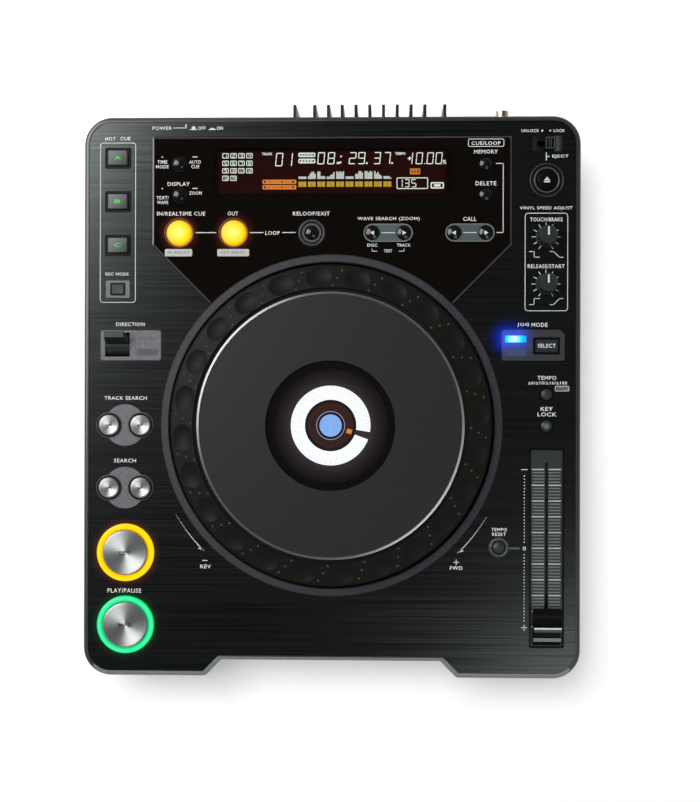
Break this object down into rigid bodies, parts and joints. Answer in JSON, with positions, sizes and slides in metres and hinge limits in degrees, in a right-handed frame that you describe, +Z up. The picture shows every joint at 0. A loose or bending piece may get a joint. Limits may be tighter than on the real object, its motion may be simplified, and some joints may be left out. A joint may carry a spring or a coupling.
{
  "type": "tabletop dj cd player",
  "caption": "Flat tabletop disc player for DJs: big jog wheel with central display, tempo fader, lit play and cue keys, display window and a front disc slot.",
  "frame": {"origin": "centre of the bounding box on the table, under the feet", "axes": "+X to the user's right, +Y to the rear, +Z up"},
  "size_m": [0.32, 0.369, 0.105],
  "materials": {
    "case_plastic": "satin moulded plastic",
    "brushed_panel": "black anodised, brushed along X",
    "smoked_window": "smoked glossy sheet",
    "rear_plate": "black enamel",
    "heat_sink": "black anodised extrusion",
    "foot_rubber": "moulded rubber",
    "steel_screws": "zinc plated",
    "socket_metal": "gold plated barrels on a board",
    "inlet_plastic": "moulded",
    "speckled_ring": "grey with fine metallic speckle",
    "dark_module": "matt black",
    "light_ring": "translucent, lit from below",
    "scale_plate": "grey with a printed scale",
    "zinc_steel": "zinc plated sheet",
    "collar_plastic": "dark grey moulded",
    "circuit_board": "solder mask",
    "transformer": "laminated core and windings",
    "jog_plastic": "dark moulded plastic",
    "jog_plate": "dark plate with a fine sparkle",
    "clear_lens": "clear smoked lens",
    "black_key": "black moulded keys",
    "gloss_key": "glossy black",
    "amber_key": "translucent amber, lit",
    "turned_metal": "turned faces"
  },
  "bodies": {
    "root": {"upper_case": "case_plastic", "top_panel": "brushed_panel", "display_window": "smoked_window", "lower_case": "case_plastic", "slot_bezel": "case_plastic", "rear_panel": "rear_plate", "heat_sink": "heat_sink", "feet": "foot_rubber", "case_screws": "steel_screws", "jack_block": "socket_metal", "mains_inlet": "inlet_plastic", "jog_base": "speckled_ring", "jog_display": "dark_module", "light_rings": "light_ring", "search_plates": "speckled_ring", "direction_plate": "speckled_ring", "jog_mode_plate": "speckled_ring", "fader_plate": "scale_plate", "fader_body": "zinc_steel", "key_collars": "collar_plastic", "display_module": "dark_module", "main_board": "circuit_board", "power_supply": "transformer", "disc_drive": "zinc_steel"},
    "jog": {"jog_wheel": "jog_plastic"},
    "jog_plate": {"jog_top_plate": "jog_plate", "jog_lens": "clear_lens"},
    "turntable": {"spindle": "zinc_steel"},
    "fader": {"tempo_fader_knob": "black_key"},
    "brake_knob": {"brake_speed_knob": "black_key"},
    "start_knob": {"start_speed_knob": "black_key"},
    "lever": {"direction_lever": "black_key"},
    "lock": {"eject_lock_slider": "black_key"},
    "power": {"power_button": "inlet_plastic"},
    "hot_cue_1": {"hot_cue_key_1": "black_key"},
    "hot_cue_2": {"hot_cue_key_2": "black_key"},
    "hot_cue_3": {"hot_cue_key_3": "black_key"},
    "record_mode": {"record_mode_key": "black_key"},
    "time_mode": {"time_mode_key": "gloss_key"},
    "display_mode": {"display_mode_key": "gloss_key"},
    "loop_in": {"loop_in_key": "amber_key"},
    "loop_out": {"loop_out_key": "amber_key"},
    "reloop": {"reloop_key": "gloss_key"},
    "wave_back": {"wave_back_key": "gloss_key"},
    "wave_forward": {"wave_forward_key": "gloss_key"},
    "call_back": {"call_back_key": "gloss_key"},
    "call_forward": {"call_forward_key": "gloss_key"},
    "memory": {"memory_key": "gloss_key"},
    "delete": {"delete_key": "gloss_key"},
    "eject": {"eject_key": "black_key"},
    "jog_mode": {"jog_mode_key": "black_key"},
    "tempo_range": {"tempo_range_key": "gloss_key"},
    "master_tempo": {"master_tempo_key": "gloss_key"},
    "tempo_reset": {"tempo_reset_key": "gloss_key"},
    "track_back": {"track_back_key": "turned_metal"},
    "track_forward": {"track_forward_key": "turned_metal"},
    "search_back": {"search_back_key": "turned_metal"},
    "search_forward": {"search_forward_key": "turned_metal"},
    "cue": {"cue_key": "turned_metal"},
    "play": {"play_key": "turned_metal"}
  },
  "joints": [
    {"name": "jog_spin", "type": "hinge", "parent": "root", "child": "jog", "pos_m": [0.0002, -0.0225, 0.083], "axis": [0, 0, 1], "continuous": true},
    {"name": "jog_touch", "type": "slide", "parent": "jog", "child": "jog_plate", "axis": [0, 0, -1], "range_m": [0, 0.0004], "stiffness_N_per_m": 3000, "springref_m": -0.001},
    {"name": "turntable_spin", "type": "hinge", "parent": "root", "child": "turntable", "pos_m": [0, -0.102, 0.045], "axis": [0, 0, 1], "continuous": true},
    {"name": "tempo_slide", "type": "slide", "parent": "root", "child": "fader", "axis": [0, 1, 0], "range_m": [0, 0.1]},
    {"name": "brake_knob_turn", "type": "hinge", "parent": "root", "child": "brake_knob", "pos_m": [0.1376, 0.0986, 0.095], "axis": [0, 0, 1], "range_deg": [-150, 150]},
    {"name": "start_knob_turn", "type": "hinge", "parent": "root", "child": "start_knob", "pos_m": [0.1376, 0.0684, 0.095], "axis": [0, 0, 1], "range_deg": [-150, 150]},
    {"name": "direction_rock", "type": "hinge", "parent": "root", "child": "lever", "pos_m": [-0.1381, 0.0292, 0.083], "axis": [1, 0, 0], "range_deg": [0, 36]},
    {"name": "lock_slide", "type": "slide", "parent": "root", "child": "lock", "axis": [-1, 0, 0], "range_m": [0, 0.005]},
    {"name": "power_latch", "type": "slide", "parent": "root", "child": "power", "axis": [0, 1, 0], "range_m": [0, 0.0035]},
    {"name": "hot_cue_1_press", "type": "slide", "parent": "root", "child": "hot_cue_1", "axis": [0, 0, -1], "range_m": [0, 0.0007], "stiffness_N_per_m": 500, "springref_m": -0.0006},
    {"name": "hot_cue_2_press", "type": "slide", "parent": "root", "child": "hot_cue_2", "axis": [0, 0, -1], "range_m": [0, 0.0007], "stiffness_N_per_m": 500, "springref_m": -0.0006},
    {"name": "hot_cue_3_press", "type": "slide", "parent": "root", "child": "hot_cue_3", "axis": [0, 0, -1], "range_m": [0, 0.0007], "stiffness_N_per_m": 500, "springref_m": -0.0006},
    {"name": "record_mode_press", "type": "slide", "parent": "root", "child": "record_mode", "axis": [0, 0, -1], "range_m": [0, 0.0007], "stiffness_N_per_m": 500, "springref_m": -0.0006},
    {"name": "time_mode_press", "type": "slide", "parent": "root", "child": "time_mode", "axis": [0, 0, -1], "range_m": [0, 0.0007], "stiffness_N_per_m": 500, "springref_m": -0.0006},
    {"name": "display_mode_press", "type": "slide", "parent": "root", "child": "display_mode", "axis": [0, 0, -1], "range_m": [0, 0.0007], "stiffness_N_per_m": 500, "springref_m": -0.0006},
    {"name": "loop_in_press", "type": "slide", "parent": "root", "child": "loop_in", "axis": [0, 0, -1], "range_m": [0, 0.0007], "stiffness_N_per_m": 500, "springref_m": -0.0006},
    {"name": "loop_out_press", "type": "slide", "parent": "root", "child": "loop_out", "axis": [0, 0, -1], "range_m": [0, 0.0007], "stiffness_N_per_m": 500, "springref_m": -0.0006},
    {"name": "reloop_press", "type": "slide", "parent": "root", "child": "reloop", "axis": [0, 0, -1], "range_m": [0, 0.0007], "stiffness_N_per_m": 500, "springref_m": -0.0006},
    {"name": "wave_back_press", "type": "slide", "parent": "root", "child": "wave_back", "axis": [0, 0, -1], "range_m": [0, 0.0007], "stiffness_N_per_m": 500, "springref_m": -0.0006},
    {"name": "wave_forward_press", "type": "slide", "parent": "root", "child": "wave_forward", "axis": [0, 0, -1], "range_m": [0, 0.0007], "stiffness_N_per_m": 500, "springref_m": -0.0006},
    {"name": "call_back_press", "type": "slide", "parent": "root", "child": "call_back", "axis": [0, 0, -1], "range_m": [0, 0.0007], "stiffness_N_per_m": 500, "springref_m": -0.0006},
    {"name": "call_forward_press", "type": "slide", "parent": "root", "child": "call_forward", "axis": [0, 0, -1], "range_m": [0, 0.0007], "stiffness_N_per_m": 500, "springref_m": -0.0006},
    {"name": "memory_press", "type": "slide", "parent": "root", "child": "memory", "axis": [0, 0, -1], "range_m": [0, 0.0007], "stiffness_N_per_m": 500, "springref_m": -0.0006},
    {"name": "delete_press", "type": "slide", "parent": "root", "child": "delete", "axis": [0, 0, -1], "range_m": [0, 0.0007], "stiffness_N_per_m": 500, "springref_m": -0.0006},
    {"name": "eject_press", "type": "slide", "parent": "root", "child": "eject", "axis": [0, 0, -1], "range_m": [0, 0.0007], "stiffness_N_per_m": 500, "springref_m": -0.0006},
    {"name": "jog_mode_press", "type": "slide", "parent": "root", "child": "jog_mode", "axis": [0, 0, -1], "range_m": [0, 0.0007], "stiffness_N_per_m": 500, "springref_m": -0.0006},
    {"name": "tempo_range_press", "type": "slide", "parent": "root", "child": "tempo_range", "axis": [0, 0, -1], "range_m": [0, 0.0007], "stiffness_N_per_m": 500, "springref_m": -0.0006},
    {"name": "master_tempo_press", "type": "slide", "parent": "root", "child": "master_tempo", "axis": [0, 0, -1], "range_m": [0, 0.0007], "stiffness_N_per_m": 500, "springref_m": -0.0006},
    {"name": "tempo_reset_press", "type": "slide", "parent": "root", "child": "tempo_reset", "axis": [0, 0, -1], "range_m": [0, 0.0007], "stiffness_N_per_m": 500, "springref_m": -0.0006},
    {"name": "track_back_press", "type": "slide", "parent": "root", "child": "track_back", "axis": [0, 0, -1], "range_m": [0, 0.0007], "stiffness_N_per_m": 500, "springref_m": -0.0006},
    {"name": "track_forward_press", "type": "slide", "parent": "root", "child": "track_forward", "axis": [0, 0, -1], "range_m": [0, 0.0007], "stiffness_N_per_m": 500, "springref_m": -0.0006},
    {"name": "search_back_press", "type": "slide", "parent": "root", "child": "search_back", "axis": [0, 0, -1], "range_m": [0, 0.0007], "stiffness_N_per_m": 500, "springref_m": -0.0006},
    {"name": "search_forward_press", "type": "slide", "parent": "root", "child": "search_forward", "axis": [0, 0, -1], "range_m": [0, 0.0007], "stiffness_N_per_m": 500, "springref_m": -0.0006},
    {"name": "cue_press", "type": "slide", "parent": "root", "child": "cue", "axis": [0, 0, -1], "range_m": [0, 0.001], "stiffness_N_per_m": 500, "springref_m": -0.0006},
    {"name": "play_press", "type": "slide", "parent": "root", "child": "play", "axis": [0, 0, -1], "range_m": [0, 0.001], "stiffness_N_per_m": 500, "springref_m": -0.0006}
  ]
}
